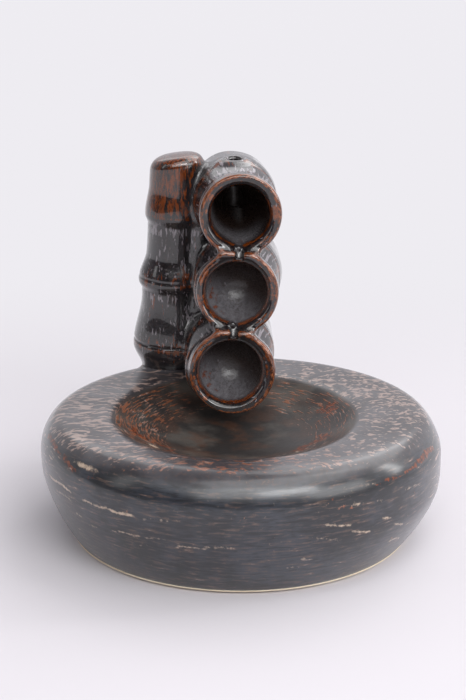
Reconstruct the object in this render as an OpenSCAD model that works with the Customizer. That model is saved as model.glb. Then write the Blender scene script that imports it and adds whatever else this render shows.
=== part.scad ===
// Backflow incense burner: a round pebble base with a shallow pool, and behind it a bamboo stalk
// that carries three short bamboo tubes, one above the other. Smoke falls from cup to cup.
// Frame: +Z up, the tubes' mouths face -Y, the origin is on the table under the base's centre.

/* [Base] */
// Largest radius of the round base
base_r = 57.5; // [52:0.5:72]
// Height of the flat top face above the table
base_h = 35.9; // [32:0.1:46]
// Height at which the base is widest
waist_h = 24.5; // [19:0.5:26]
// Width of the rounded shoulder, from the widest point in to the flat top
shoulder_w = 8.5; // [6:0.5:10]
// How far the side draws in between the widest point and the foot
tuck_w = 9.8; // [7:0.1:12]
// Wall thickness of the hollow base
base_wall = 4.5; // [3:0.1:5.5]
// Width of the flat top face between the pool's rim and the shoulder
pool_ledge = 12.7; // [11:0.1:19]
// Depth of the pool
pool_depth = 9; // [6:0.5:11]
// Sideways place of the pool's centre
pool_x = -1.6; // [-3:0.1:3]
// Place of the pool's centre from front to back
pool_y = -3.8; // [-5:0.1:1]

/* [Foot] */
// Height of the bare clay ring under the base
foot_h = 1.2; // [0.8:0.1:2]
// Width of the bare clay ring
foot_w = 4; // [3:0.1:6]
// How far the floor lies above the table
floor_lift = 2.6; // [2:0.1:4]
// Thickness of the floor
floor_t = 3.4; // [2.4:0.1:5]
// Radius of the kiln vent in the floor
vent_r = 2.2; // [1.5:0.1:4]

/* [Stalk] */
// How deep the stalk's foot is set into the side of the tubes
stalk_bite = 0.7; // [-0.7:0.1:2.1]
// Distance from the back edge of the base in to the middle of the stalk's foot
stalk_in = 14; // [13:0.1:15.5]
// Height of the cut at the top of the stalk above the top tube's middle, measured up the stalk
stalk_over = 9.6; // [4:0.1:18]
// Forward lean of the stalk in degrees
stalk_lean = 4; // [2:0.5:5]
// Lean of the stalk towards the tubes in degrees
stalk_tip = 2.2; // [1:0.1:3]
// Radius of the stalk where it stands on the base
stalk_foot_r = 9.3; // [8.6:0.1:10]
// Radius of the lowest node ring
ring_r = 12.1; // [11:0.1:12.6]
// How much smaller each higher node ring is
ring_step = 1.35; // [1:0.05:1.6]
// How far the stalk is thinner than its ring just below each node
node_nip = 1.3; // [0.6:0.1:1.8]
// Distance from one node ring to the next
node_pitch = 20.6; // [18:0.1:22]
// Height of the lowest node ring above the base
first_node = 7.2; // [5:0.1:9]
// Radius of the bore up the middle of the stalk
stalk_bore_r = 4.5; // [2:0.1:4.6]
// Thickness of the cap
cap_t = 3; // [2.6:0.1:4]
// Height of the rounding at the cap's upper edge
cap_round = 2.4; // [0.6:0.1:2.5]
// Width of the rounding at the cap's upper edge
cap_edge = 3.4; // [0.6:0.1:4]
// Slant of the cut top down to the outer side in degrees
cap_slant = 9; // [0:0.5:12]
// Slant of the cut top down to the back in degrees
cap_fall = 3; // [0:0.5:8]

/* [Tubes] */
// How deep the bottom tube is set into the base
bottom_bite = 4.9; // [4.1:0.1:5.7]
// How far the bottom and the middle tube are pressed into each other
lower_bite = 4; // [3.3:0.1:4.9]
// How far the middle and the top tube are pressed into each other
upper_bite = 3.9; // [3.2:0.1:4.8]
// Distance from the back edge of the base in to the tubes' back ends
tube_in = 6.5; // [4:0.5:9]
// How much further forward each lower lip stands
lip_step = 2; // [0:0.5:3]
// Length of the top tube
tube_len = 43; // [38:0.5:46]
// Outer radius of the top tube's rim
rim_r = 11.8; // [11.6:0.1:12.2]
// How much larger the rim is on each lower tube
rim_step = 0.4; // [0.1:0.1:0.6]
// Wall thickness at the rims
rim_t = 3; // [2.4:0.1:3.6]
// Radius of the waist behind the rims
neck_r = 10.5; // [9.8:0.1:11.2]
// Radius of the top tube's back ring
back_r = 12.8; // [12.4:0.1:13.2]
// How much larger the back ring is on each lower tube
back_step = 0.5; // [0.2:0.1:0.7]
// Depth of the top cup, which reaches back under the smoke hole
top_cup_depth = 27; // [22:0.5:30]
// Depth of the two lower cups
cup_depth = 14; // [10:0.5:17]
// Radius of the groove that joins one cup to the next
spout_r = 1.4; // [1.1:0.1:2]

/* [Smoke hole] */
// Radius of the smoke hole
smoke_r = 2.7; // [2:0.1:3.2]
// How far in front of the cup's deepest point the smoke hole stays
smoke_clear = 0.7; // [0.3:0.1:2]
// Radius of the seat that the cone stands on
seat_r = 4.8; // [4.2:0.1:6]
// Height of the seat's top face above the top tube's back ring
seat_lift = -0.3; // [-0.3:0.1:0.8]

/* [Hidden] */

glaze = [0.25, 0.23, 0.23];
rust_glaze = [0.42, 0.24, 0.13];
bare_clay = [0.80, 0.70, 0.56];
inside_clay = [0.62, 0.50, 0.38];
round_fn = 96;
foot_r = base_r - tuck_w;               // outer radius at the table
floor_r = foot_r - foot_w;              // the floor fills the ring's inside
pool_r = base_r - shoulder_w - pool_ledge;
cavity_r = base_r - base_wall;
under_pool_z = base_h - pool_depth - base_wall;

// The tower stands in from the back edge of the base and up from its top face
top_lip_y = base_r - tube_in - tube_len;
middle_lip_y = top_lip_y - lip_step;
bottom_lip_y = middle_lip_y - lip_step;
middle_back_r = back_r + back_step;
bottom_back_r = middle_back_r + back_step;
bottom_z = base_h + bottom_back_r - bottom_bite;
middle_z = bottom_z + bottom_back_r + middle_back_r - lower_bite;
top_z = middle_z + middle_back_r + back_r - upper_bite;
seat_z = top_z + back_r + seat_lift;
stalk_x = -(back_r + stalk_foot_r - stalk_bite);
stalk_y = base_r - stalk_in;
stalk_top = top_z + stalk_over;

// Each joint lies a little below the middle of the overlap, as the tube above it tips back
lower_joint_drop = 0.3;
upper_joint_drop = 0.95;
lower_joint_z = bottom_z + bottom_back_r - lower_bite / 2 - lower_joint_drop;
upper_joint_z = middle_z + middle_back_r - upper_bite / 2 - upper_joint_drop;

// Each tube: [lip x, lip y, lip z, drop of the back in degrees, yaw in degrees, back ring radius,
// rim radius, cup radius, cup depth]
middle_rim_r = rim_r + rim_step;
bottom_rim_r = middle_rim_r + rim_step;
thin_rim = 0.6;                         // the middle cup's rim is thinner by this
top_place = [0, top_lip_y, top_z, 1.1, 3.8, back_r, rim_r, rim_r - rim_t, top_cup_depth];
middle_place = [-1.3, middle_lip_y, middle_z, 2.3, -1, middle_back_r,
                middle_rim_r, middle_rim_r - rim_t + thin_rim, cup_depth];
bottom_place = [-2.9, bottom_lip_y, bottom_z, 1.4, 1.1, bottom_back_r,
                bottom_rim_r, bottom_rim_r - rim_t, cup_depth];

// Points of an arc about (cx, cy)
function arc(cx, cy, r, from, to, n) =
    [for (i = [0:n]) let (a = from + (to - from) * i / n) [cx + r * cos(a), cy + r * sin(a)]];
// Smooth step from 0 to 1 as x goes from a to b
function ease(x, a, b) = let (t = min(1, max(0, (x - a) / (b - a)))) t * t * (3 - 2 * t);
// Rounded bump of width w around c
function bump(x, c, w) = abs(x - c) < w ? pow(cos(90 * (x - c) / w), 2) : 0;

// ---- base ----------------------------------------------------------------------------------
// Side of the base from the foot out to the widest point and in over the shoulder
side_steps = 9;
shoulder_steps = 9;
function side_point(i) = let (a = 90 * i / side_steps)
    [base_r - tuck_w * pow(1 - sin(a), 1.15), waist_h * (1 - cos(a)) * 0.45 + waist_h * sin(a) * 0.55];
function base_side() = concat(
    [for (i = [0:side_steps]) side_point(i)],
    [for (i = [1:shoulder_steps]) let (a = 90 * i / shoulder_steps)
        [base_r - shoulder_w * (1 - cos(a)), waist_h + (base_h - waist_h) * sin(a)]]);

// Filled outline of the base, without its pool
module base_block() {
    rotate_extrude($fn = round_fn)
        polygon(concat([[0, 0]], base_side(), [[0, base_h]]));
}

// Dish that is scooped out for the pool, with a softly rounded rim
pool_steps = 10;
pool_edge = 1.6;
module pool_scoop() {
    translate([pool_x, pool_y, base_h])
        rotate_extrude($fn = round_fn)
            polygon(concat(
                [[0, 1], [pool_r + pool_edge, 1], [pool_r + pool_edge, 0]],
                [for (i = [1:3]) [pool_r + pool_edge - pool_edge * i / 3, -0.3 * i * i / 9]],
                [for (i = [1:pool_steps]) let (u = 1 - i / pool_steps)
                    [pool_r * u, -0.3 - (pool_depth - 0.3) * (1 - pow(u, 2.6))]]));
}

module base_solid() {
    difference() {
        base_block();
        pool_scoop();
    }
}

module base_shell() {
    color(glaze)
        difference() {
            base_solid();
            translate([0, 0, -1]) cylinder(h = foot_h + 1, r = base_r + 1, $fn = round_fn);
            rotate_extrude($fn = round_fn)
                polygon([[0, 0], [floor_r, 0], [floor_r, floor_lift + floor_t + 0.5],
                         [cavity_r - 4, waist_h / 2], [cavity_r, waist_h - 4], [cavity_r, waist_h + 2],
                         [base_r - shoulder_w, base_h - base_wall], [pool_r + 7, base_h - base_wall],
                         [pool_r + 4, under_pool_z + 3], [pool_r, under_pool_z], [0, under_pool_z]]);
        }
}

module base_floor() {
    color(inside_clay)
        translate([0, 0, floor_lift])
            difference() {
                cylinder(h = floor_t, r = floor_r, $fn = round_fn);
                translate([0, 0, -1]) cylinder(h = floor_t + 2, r = vent_r, $fn = 32);
            }
}

module foot_ring() {
    color(bare_clay)
        intersection() {
            base_block();
            difference() {
                cylinder(h = foot_h, r = base_r, $fn = round_fn);
                translate([0, 0, -1]) cylinder(h = foot_h + 2, r = floor_r, $fn = round_fn);
            }
        }
}

// ---- stalk ---------------------------------------------------------------------------------
stalk_sink = 7;                         // the stalk reaches this far below the top face
stalk_len = stalk_top - base_h + stalk_sink + 6;
node_z = [for (k = [0:2]) stalk_sink + first_node + k * node_pitch];
ring_at = [for (k = [0:2]) ring_r - k * ring_step];
nip_at = [for (k = [0:2]) ring_at[k] - node_nip - (k == 0 ? 0 : 0.2)];
stalk_head_r = ring_at[2] - 1.4;
cap_crown = 0.2;                        // the cap's middle is higher than its edge by this

// Radius of the stalk at height h above its hidden end: each length swells down to its ring
function stalk_r(h) =
    h < node_z[0] ? stalk_foot_r + (ring_at[0] - stalk_foot_r) * ease(h, stalk_sink, node_z[0])
    : h < node_z[1] ? ring_at[0] + (nip_at[1] - ring_at[0]) * ease(h, node_z[0], node_z[1] - 4)
        + (ring_at[1] - nip_at[1]) * ease(h, node_z[1] - 2.2, node_z[1])
    : h < node_z[2] ? ring_at[1] + (nip_at[2] - ring_at[1]) * ease(h, node_z[1], node_z[1] + 9)
        + (ring_at[2] - nip_at[2]) * ease(h, node_z[2] - 3, node_z[2])
    : ring_at[2] + (stalk_head_r - ring_at[2]) * ease(h, node_z[2], node_z[2] + 5);

// Heights at which the outline turns: four below each node ring, the ring, and three above it
stalk_marks = concat([stalk_sink],
    [for (z = node_z) each [z - 4.4, z - 2.4, z - 1, z, z + 1.2, z + 3.2, z + 6.5]]);

module stalk_place() {
    translate([stalk_x, stalk_y, base_h])
        rotate([stalk_lean, stalk_tip, 0])
            translate([0, 0, -stalk_sink])
                children();
}

module stalk_block() {
    stalk_place()
        rotate_extrude($fn = round_fn)
            polygon(concat([[0, 0], [stalk_foot_r, 0]], [for (h = stalk_marks) [stalk_r(h), h]],
                           [[stalk_head_r, stalk_len], [0, stalk_len]]));
}

// Middle of the slanted cut, with +Z square to it
module cut_place() {
    stalk_place()
        translate([0, 0, stalk_top - base_h + stalk_sink])
            rotate([-cap_fall, -cap_slant, 0])
                children();
}

module bamboo_stalk() {
    color(glaze)
        difference() {
            stalk_block();
            cut_place() translate([-ring_r, -ring_r, 0]) cube([2 * ring_r, 2 * ring_r, stalk_len]);
            base_block();
            stalk_place()
                translate([0, 0, stalk_sink + 2])
                    cylinder(h = stalk_len, r = stalk_bore_r, $fn = round_fn);
        }
}

module stalk_cap() {
    color(rust_glaze)
        cut_place()
            rotate_extrude($fn = round_fn)
                polygon(concat(
                    [[0, 0], [stalk_head_r, 0]],
                    [for (a = [0:15:75]) [stalk_head_r - cap_edge * (1 - cos(a)),
                                          cap_t - cap_round * (1 - sin(a))]],
                    [[0, cap_t + cap_crown]]));
}

// ---- tubes ---------------------------------------------------------------------------------
waist_at = 12;                          // distance of the waist behind the lip
node_at = 22;                           // distance of the front edge of the node behind the lip
tube_edge = 3;                          // rounding at the closed back end
// Outer radius of a tube at distance s behind its lip
function tube_r(s, back, rim) =
    rim - (rim - neck_r) * ease(s, 2.5, waist_at) + (back - 0.5 - neck_r) * ease(s, waist_at, node_at)
    + 0.5 * ease(s, node_at + 2, node_at + 10) + 0.35 * bump(s, node_at, 1.6)
    - 0.45 * bump(s, 4.4, 1.0) - 0.3 * bump(s, 7.2, 0.9);

// Distances behind the lip at which the outline turns: two fine grooves, the waist, the node
tube_marks = [3.4, 4.4, 5.4, 6.3, 7.2, 8.1, 10, waist_at, 14, 16, 18, 20, node_at, node_at + 1.6,
              node_at + 5, node_at + 10];

module tube_revolve(len, back, rim, cup, depth, solid_cup) {
    lip = (rim - cup) / 2;
    rotate_extrude($fn = round_fn)
        polygon(concat(
            solid_cup ? [[0, 0]]
                : [for (i = [0:8]) let (a = 90 * i / 8) [cup * sin(a), lip + (depth - lip) * cos(a)]],
            arc(rim - lip, lip, lip, 180, 360, 10),
            [for (s = tube_marks) [tube_r(s, back, rim), s]],
            arc(back - tube_edge, len - tube_edge, tube_edge, 0, 90, 5),
            [[0, len]]));
}

module tube_place(place) {
    translate([place[0], place[1], place[2]])
        rotate([-90 - place[3], 0, place[4]])
            children();
}

module tube_block(place, solid_cup = false) {
    extra = top_lip_y - place[1];       // the back ends line up
    tube_place(place) tube_revolve(tube_len + extra, place[5], place[6], place[7], place[8], solid_cup);
}

// The part of a tube that lies between two heights
module tube_between(place, low, high, solid_cup = false) {
    intersection() {
        tube_block(place, solid_cup);
        translate([-tube_len, -tube_len, low]) cube([2 * tube_len, 3 * tube_len, high - low]);
    }
}

// Groove down the front of the two rims at a joint; it leans back as the upper lip stands back
spout_h = 6.4;
spout_lean = 20;
spout_behind = 0.5;
upper_spout_x = -0.6;
lower_spout_x = -2.2;
module spout(x, lower_lip_y, joint_z) {
    translate([x, lower_lip_y + lip_step / 2 + spout_behind, joint_z])
        rotate([-spout_lean, 0, 0])
            cylinder(h = spout_h, r = spout_r, center = true, $fn = 32);
}
module upper_spout_cut() { spout(upper_spout_x, middle_lip_y, upper_joint_z); }
module lower_spout_cut() { spout(lower_spout_x, bottom_lip_y, lower_joint_z); }

// The smoke hole opens in the roof of the top cup, just in front of its deepest point
smoke_back = top_cup_depth - smoke_r - smoke_clear;
smoke_left = 0.5;
smoke_x = -smoke_back * sin(top_place[4]) - smoke_left;
smoke_y = top_lip_y + smoke_back;
module smoke_bore() {
    translate([smoke_x, smoke_y, top_z]) cylinder(h = 40, r = smoke_r, $fn = 48);
}
module seat_block() {
    translate([smoke_x, smoke_y, top_z]) cylinder(h = seat_z - top_z, r = seat_r, $fn = 64);
}

module top_tube() {
    color(rust_glaze)
        difference() {
            tube_between(top_place, upper_joint_z, stalk_top + 20);
            stalk_block();
            smoke_bore();
            upper_spout_cut();
        }
}

module middle_tube() {
    color(rust_glaze)
        difference() {
            tube_between(middle_place, lower_joint_z, upper_joint_z);
            stalk_block();
            upper_spout_cut();
            lower_spout_cut();
        }
}

module bottom_tube() {
    color(rust_glaze)
        difference() {
            tube_between(bottom_place, 0, lower_joint_z);
            stalk_block();
            base_solid();
            lower_spout_cut();
        }
}

// ---- luting --------------------------------------------------------------------------------
// Strip of clay that fills the groove along a joint between two tubes
lute_half_w = 7.8;
lute_half_h = 4;
lute_in = 3.2;                          // it starts this far behind the lips
upper_lute_x = -1;
lower_lute_x = -2.4;
lute_hollow_r = 3;                      // its two faces are hollowed by a finger
lute_hollow_out = 2.1;
module lute_strip(joint_z, x, y) {
    translate([x, y, joint_z])
        difference() {
            translate([-lute_half_w, 0, -lute_half_h])
                cube([2 * lute_half_w, tube_len - 6, 2 * lute_half_h]);
            for (side = [-1, 1])
                translate([side * (lute_half_w + lute_hollow_out), -1, 0])
                    rotate([-90, 0, 0])
                        cylinder(h = tube_len, r = lute_hollow_r, $fn = 48);
        }
}

module upper_luting() {
    color(glaze)
        difference() {
            lute_strip(upper_joint_z, upper_lute_x, middle_lip_y + lute_in);
            tube_between(top_place, upper_joint_z, stalk_top + 20, true);
            tube_between(middle_place, lower_joint_z, upper_joint_z, true);
            stalk_block();
            coil_block();
        }
}

module lower_luting() {
    color(glaze)
        difference() {
            lute_strip(lower_joint_z, lower_lute_x, bottom_lip_y + lute_in);
            tube_between(middle_place, lower_joint_z, upper_joint_z, true);
            tube_between(bottom_place, 0, lower_joint_z, true);
            stalk_block();
            coil_block();
        }
}

// Upright clay coil in the groove between the stalk and the tubes
coil_right = 8.2;                       // it stands this far to the right of the stalk's middle
coil_front = 9.9;                       // and this far in front of it
coil_r = 2.6;
module coil_block() {
    translate([stalk_x + coil_right, stalk_y - coil_front, base_h + 1])
        cylinder(h = top_z - base_h, r = coil_r, $fn = 48);
}
module stalk_luting() {
    color(glaze)
        difference() {
            coil_block();
            base_block();
            stalk_block();
            tube_block(top_place, true);
            tube_block(middle_place, true);
            tube_block(bottom_place, true);
        }
}

module cone_seat() {
    color(rust_glaze)
        difference() {
            seat_block();
            tube_block(top_place, true);
            smoke_bore();
        }
}

base_shell();
base_floor();
foot_ring();
bamboo_stalk();
stalk_cap();
top_tube();
middle_tube();
bottom_tube();
upper_luting();
lower_luting();
stalk_luting();
cone_seat();
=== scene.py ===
# %% [markdown]
# # A backflow incense burner
# A round pebble base with a shallow pool carries a bamboo stalk and three short bamboo tubes, one
# above the other. A cone on the top tube sends its smoke down through a hole into the top cup, and
# from there it falls from cup to cup into the pool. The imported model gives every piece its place
# and size, and this script gives each piece its fired and glazed look.

# %% Load the frame
import math

import bpy
import numpy as np
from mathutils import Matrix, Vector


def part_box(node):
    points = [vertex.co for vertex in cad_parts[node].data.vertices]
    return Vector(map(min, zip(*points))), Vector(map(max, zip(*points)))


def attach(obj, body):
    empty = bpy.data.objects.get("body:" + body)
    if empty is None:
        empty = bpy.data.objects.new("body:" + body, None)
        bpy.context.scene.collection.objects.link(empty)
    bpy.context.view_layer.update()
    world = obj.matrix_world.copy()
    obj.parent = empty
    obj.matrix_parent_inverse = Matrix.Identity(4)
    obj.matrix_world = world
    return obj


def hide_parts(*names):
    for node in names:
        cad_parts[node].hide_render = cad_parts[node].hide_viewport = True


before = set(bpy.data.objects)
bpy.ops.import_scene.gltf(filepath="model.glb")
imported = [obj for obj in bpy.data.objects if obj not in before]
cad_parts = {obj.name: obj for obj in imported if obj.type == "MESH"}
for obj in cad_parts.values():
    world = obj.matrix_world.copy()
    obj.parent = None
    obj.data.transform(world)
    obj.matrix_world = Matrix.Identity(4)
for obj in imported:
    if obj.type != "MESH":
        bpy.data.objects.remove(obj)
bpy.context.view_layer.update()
MM = 0.001  # the shapes are worked out in millimetres, and Blender works in metres

# %% [markdown]
# ## The camera
# The camera comes first, because every later choice is judged through it. It stands a little above
# the burner and looks down at it. A long lens keeps the round base from looking stretched.

# %% Camera
camera_data = bpy.data.cameras.new("camera")
camera_data.sensor_fit = "VERTICAL"
camera_data.sensor_height = 36
camera_data.lens = 80.57
camera = bpy.data.objects.new("camera", camera_data)
camera.location = (-0.0022, -0.4268, 0.1787)
camera.rotation_euler = (math.radians(73.59), 0, 0)
bpy.context.scene.collection.objects.link(camera)
bpy.context.scene.camera = camera
print("camera looks down by", round(90 - math.degrees(camera.rotation_euler.x), 1), "degrees")

# %% [markdown]
# ## Shapes as distance fields
# The tower is wet clay pressed together and then covered in thick glaze, so no two of its parts
# meet in a hard corner. Joining meshes and bevelling every seam is fragile. A distance field is a
# better clay: it is a formula that is negative inside the piece and positive outside, and two of
# them are blended by a smooth minimum, which leaves a fillet of a chosen size. A smooth maximum
# with the negative of a field carves it away and rounds the edge that is left.


# %% Blending tools
def smooth_min(a, b, size):
    """Joins two fields with a fillet of about this size."""
    share = np.clip(0.5 + 0.5 * (b - a) / size, 0, 1)
    return b + (a - b) * share - size * share * (1 - share)


def smooth_max(a, b, size):
    """Keeps what lies in both fields, with the edge between them rounded."""
    return -smooth_min(-a, -b, size)


def ease(x, start, end):
    """Smooth step from 0 at start to 1 at end."""
    t = np.clip((x - start) / (end - start), 0, 1)
    return t * t * (3 - 2 * t)


def bump(x, centre, width):
    """Rounded hump of height 1 around centre."""
    return np.where(abs(x - centre) < width, np.cos(np.pi / 2 * (x - centre) / width) ** 2, 0)


def dot(p, v):
    return p[..., 0] * v[0] + p[..., 1] * v[1] + p[..., 2] * v[2]


print("hump at its middle:", float(bump(np.array(2.0), 2.0, 1.0)))

# %% [markdown]
# ## The base as a formula
# The tower stands on the base and is cut to fit it, so the height of the base's top comes first.
# It is flat in the middle and falls away over the shoulder in a quarter ellipse. The ellipse starts
# softly, because a hard start would show as a line in the gloss. The pool is scooped out of it.

# %% Sizes and height of the base
BASE_R = 57.5
BASE_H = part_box("base_shell")[1].z / MM
WAIST_H = 24.5          # height of the widest place
SHOULDER_W = 8.5
TUCK_W = 9.8            # how far the side draws in to the foot
FOOT_H = 1.2
POOL = (-1.5, -4.2)     # centre of the pool
POOL_R = (35.2, 37.4)   # its thrown circle was pressed into a slight oval
POOL_DEPTH = 9.0
POOL_ROLL = 1.8         # softness of the rim
POOL_REACH = 1.09       # share of the radius at which the rim has run out


def pool_share(x, y):
    """Distance from the pool's centre as a share of its radius."""
    return np.hypot((x - POOL[0]) / POOL_R[0], (y - POOL[1]) / POOL_R[1])


def pool_drop(u):
    """Depth of the pool at a share u of its radius."""
    return smooth_max(POOL_DEPTH * (1 - u ** 2.6), 0 * u, POOL_ROLL) * (u < POOL_REACH)


def shoulder(share):
    """Height over the shoulder, from share 0 at its inner edge to 1 at the widest place."""
    out = smooth_max(share, 0 * share, 0.5)
    return WAIST_H + (BASE_H - WAIST_H) * np.sqrt(np.clip(1 - out * out, 0, 1))


def base_top(x, y):
    """Height of the base's upper surface over a place."""
    share = (np.hypot(x, y) - (BASE_R - SHOULDER_W)) / SHOULDER_W
    return shoulder(np.clip(share, -1, 1)) - pool_drop(pool_share(x, y))


print("base height", round(BASE_H, 2), "mm, middle of the pool", round(float(base_top(*POOL)), 2))

# %% [markdown]
# ## The bamboo stalk
# The stalk was rolled, and each length of it swells down to a node ring and then steps in. Its
# radius is one formula of the height, built from smooth steps, as a potter's template would be.
# The cut top slants down to the outer side and is softly domed.

# %% Stalk
STALK_FOOT = np.array([-21.4, 43.5, BASE_H])
STALK_LEAN, STALK_TIP = math.radians(4), math.radians(2.2)
STALK_SINK = 7.0
RINGS_H = [STALK_SINK + 7.2 + 20.6 * k for k in range(3)]
RINGS_R = [12.1 - 1.35 * k for k in range(3)]
NIPS_R = [10.8, 9.75, 8.65]
HEAD_R = 8.05
STALK_FOOT_R = 9.3
CUT_H = 99.7 - BASE_H + STALK_SINK
CAP_T = 3.2
CUT_SLANT, CUT_FALL = math.radians(9), math.radians(3)


def turned(about_x, about_y):
    """The three axes after a turn about X and then about Y."""
    sx, cx, sy, cy = math.sin(about_x), math.cos(about_x), math.sin(about_y), math.cos(about_y)
    return np.array([[cy, 0, -sy], [sx * sy, cx, sx * cy], [cx * sy, -sx, cx * cy]])


STALK_RIGHT, STALK_BACK, STALK_UP = turned(STALK_LEAN, STALK_TIP)
CUT_NORMAL = turned(-CUT_FALL, -CUT_SLANT)[2] @ turned(STALK_LEAN, STALK_TIP)
CUT_CENTRE = STALK_FOOT + (CUT_H - STALK_SINK) * STALK_UP


def stalk_radius(h):
    """Radius of the stalk at height h above its hidden end."""
    r = STALK_FOOT_R + (RINGS_R[0] - STALK_FOOT_R) * ease(h, STALK_SINK, RINGS_H[0])
    for k, after in ((0, 16.6), (1, 9.0)):
        low, high = RINGS_H[k], RINGS_H[k + 1]
        r = r + (NIPS_R[k + 1] - RINGS_R[k]) * ease(h, low, low + after)
        r = r + (RINGS_R[k + 1] - NIPS_R[k + 1]) * ease(h, high - 2.6, high)
    r = r + (HEAD_R - RINGS_R[2]) * ease(h, RINGS_H[2], RINGS_H[2] + 9.5)
    return r - 0.22 * bump(h, RINGS_H[0] + 1.8, 0.8) - 0.1 * bump(h, RINGS_H[1] + 1.6, 0.8)


def stalk_place(p):
    """Height along the stalk, and the two distances across it."""
    q = p - STALK_FOOT
    return dot(q, STALK_UP) + STALK_SINK, dot(q, STALK_RIGHT), dot(q, STALK_BACK)


def stalk_field(p):
    h, across, back = stalk_place(p)
    body = np.hypot(across, back) - stalk_radius(h)
    dome = CAP_T - 0.08 - 0.012 * across ** 2 - 0.008 * back ** 2
    return smooth_max(body, dot(p - CUT_CENTRE, CUT_NORMAL) - dome, 3.2)


print("node rings stand", [round(h - STALK_SINK, 1) for h in RINGS_H], "mm above the base")

# %% [markdown]
# ## The tubes and their cups
# Each tube has a round lip, two fine grooves behind it, a waist, and then a node ring before the
# closed end. The cup is half an egg, and its mouth is drawn out into a drop at the bottom, so that
# the smoke gathers there and runs over the lip. The drop is the outline of a circle with the two
# tangents from a point below it, and it fades out further in.

# %% Tubes
NECK_R = 10.5
WAIST_AT, NODE_AT = 12.0, 22.0
TUBE_LEN = 43.0
FLARE = 0.9             # the cup widens by this much at its lip


class Tube:
    """One tube: the middle of its lip, the drop and turn of its back, and its sizes."""

    def __init__(self, name, lip, drop, turn, back_r, rim_r, cup_r, cup_depth, drawn, swell):
        self.name, self.lip = name, np.array(lip)
        self.back_r, self.rim_r, self.cup_r, self.cup_depth = back_r, rim_r, cup_r, cup_depth
        self.drawn = drawn  # how far the mouth is drawn down, as a share of its radius
        self.swell = swell  # how far the wall behind the lip was pushed out on the left
        self.length = TUBE_LEN + 8.0 - lip[1]
        drop, turn = math.radians(drop), math.radians(turn)
        self.right = np.array([math.cos(turn), math.sin(turn), 0])
        self.along = np.array([-math.cos(drop) * math.sin(turn),
                               math.cos(drop) * math.cos(turn), -math.sin(drop)])
        self.up = np.cross(self.right, self.along)

    def place(self, p):
        """Distance behind the lip, and the distances to the right and up from the axis."""
        q = p - self.lip
        return dot(q, self.along), dot(q, self.right), dot(q, self.up)

    def radius(self, s):
        r = self.rim_r - (self.rim_r - NECK_R) * ease(s, 2.5, WAIST_AT)
        r = r + (self.back_r - 0.5 - NECK_R) * ease(s, WAIST_AT, NODE_AT)
        r = r + 0.5 * ease(s, NODE_AT + 2, NODE_AT + 10) + 0.3 * bump(s, NODE_AT, 1.9)
        r = r - 0.5 * bump(s, 4.2, 1.1) - 0.35 * bump(s, 7.2, 1.1)
        return r - 0.35 * bump(s, NODE_AT + 3.4, 1.8)

    def body(self, p):
        s, right, up = self.place(p)
        off = self.swell * 0.35 * (1 - ease(s, 3, 9))
        leftward = np.clip(-right / self.rim_r, 0, 1) ** 2 * bump(s, 6.5, 5.5)
        side = np.hypot(right - off, up) - self.radius(s) - self.swell * leftward
        front = -s + 0.22 * bump(self.across_lip(s, right, up), 2.0, 0.9)
        return smooth_max(smooth_max(side, front, 1.7), s - self.length, 3.5)

    def mouth(self, s, right, up):
        """Radius of the cup's opening in this direction, if the cup went straight in."""
        lean = math.acos(1 / self.drawn)
        angle = abs(np.arctan2(right, -up))
        drop = 1 / np.cos(np.clip(lean - angle, 0, lean))
        return self.cup_r * (1 + (drop - 1) * (1 - ease(s, 1.0, 8.0)))

    def across_lip(self, s, right, up):
        """Distance outward from the inner edge of the lip, which is about 3 mm wide."""
        return np.hypot(right, up) - self.mouth(s, right, up)

    def cup(self, p):
        s, right, up = self.place(p)
        mouth = self.mouth(s, right, up) + FLARE * (1 - ease(s, -0.5, 2.8))
        depth = np.sqrt((np.hypot(right, up) / mouth) ** 2 + (np.maximum(s, 0) / self.cup_depth) ** 2)
        return (depth - 1) * self.cup_r


TUBES = [
    Tube("top", (0.0, 8.0, 90.1), 1.1, 3.8, 12.8, 11.8, 8.5, 26.0, 1.16, 0.2),
    Tube("middle", (-1.3, 6.0, 67.9), 2.3, -1.0, 13.3, 11.9, 9.1, 12.5, 1.10, 1.1),
    Tube("bottom", (-2.9, 4.0, 44.8), 1.4, 1.1, 13.8, 12.5, 9.3, 12.5, 1.001, 1.6),
]
print({tube.name: round(tube.length, 1) for tube in TUBES})

# %% [markdown]
# ## The whole tower in one field
# The stalk and tubes are blended, the seat for the cone is added over the smoke hole, and then the
# cups, the two grooves between the cups and the smoke hole are carved. The other fields say which
# side of each clay joint a point is on. They cut the tower into its real pieces, and as two
# neighbours use the same field, they meet without a gap.

# %% Tower
UPPER_JOINT_Z, LOWER_JOINT_Z = 78.3, 56.3
SPOUT_R = 0.85
BEADS = [((-0.65, 9.6, 80.4), 0.75), ((-2.3, 7.3, 58.5), 0.85)]  # glaze that stopped in the grooves
SPOUTS = [((-0.3, 8.9, 81.2), (-0.6, 6.4, 75.6)), ((-1.9, 6.8, 59.2), (-2.2, 4.4, 53.6))]
SMOKE = (-2.06, 31.6)
SMOKE_R = 2.7
SEAT_R, SEAT_Z = 4.4, 101.95
PAD_Z, SEAT_CUT_Z = 98, 101.0   # the seat grows out of the roof here, and is parted from it here
SMOKE_END_Z = 88        # the smoke hole ends inside the top cup
COIL = ((-12.0, 35.5, 34.0), (-12.0, 35.5, 88.0), 3.0)  # clay pressed into the groove
LUTE = 0.7              # half the thickness of a luting layer
SINK = 0.4              # the tower's pieces reach this far into the base


def capsule(p, start, end, radius):
    """A round bar between two points."""
    a, b = np.array(start), np.array(end)
    t = np.clip(dot(p - a, b - a) / ((b - a) @ (b - a)), 0, 1)
    return np.linalg.norm(p - a - t[..., None] * (b - a), axis=-1) - radius


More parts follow.
